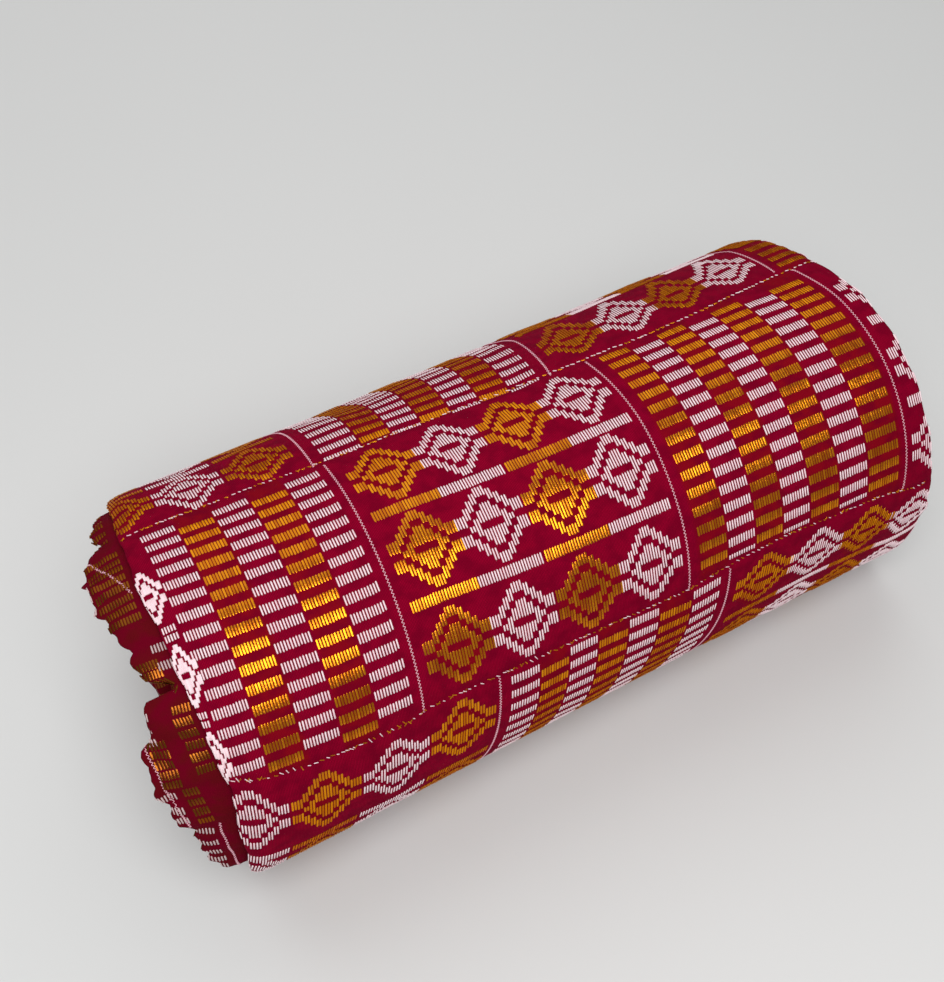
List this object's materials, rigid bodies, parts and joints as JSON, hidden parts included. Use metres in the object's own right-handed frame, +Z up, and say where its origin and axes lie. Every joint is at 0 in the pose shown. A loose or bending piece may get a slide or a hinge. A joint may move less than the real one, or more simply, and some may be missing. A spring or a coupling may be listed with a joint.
{
  "type": "folded kente cloth",
  "caption": "Strip-woven cloth in crimson, white and gold, folded to a thick band and rolled up, lying on its side with the inner folds standing out of one end.",
  "frame": {"origin": "centre of the bounding box in plan, on the surface that the roll lies on", "axes": "+X along the roll, away from the end where the inner folds stand out; +Z up; -Y is the side that shows in front"},
  "size_m": [0.2948, 0.1648, 0.1241],
  "materials": {
    "cloth": "matte woven crimson ground",
    "white_weft": "soft raised floats",
    "gold_weft": "raised floats of glittering metallic thread"
  },
  "bodies": {
    "root": {"folded_cloth": "cloth"}
  },
  "joints": []
}
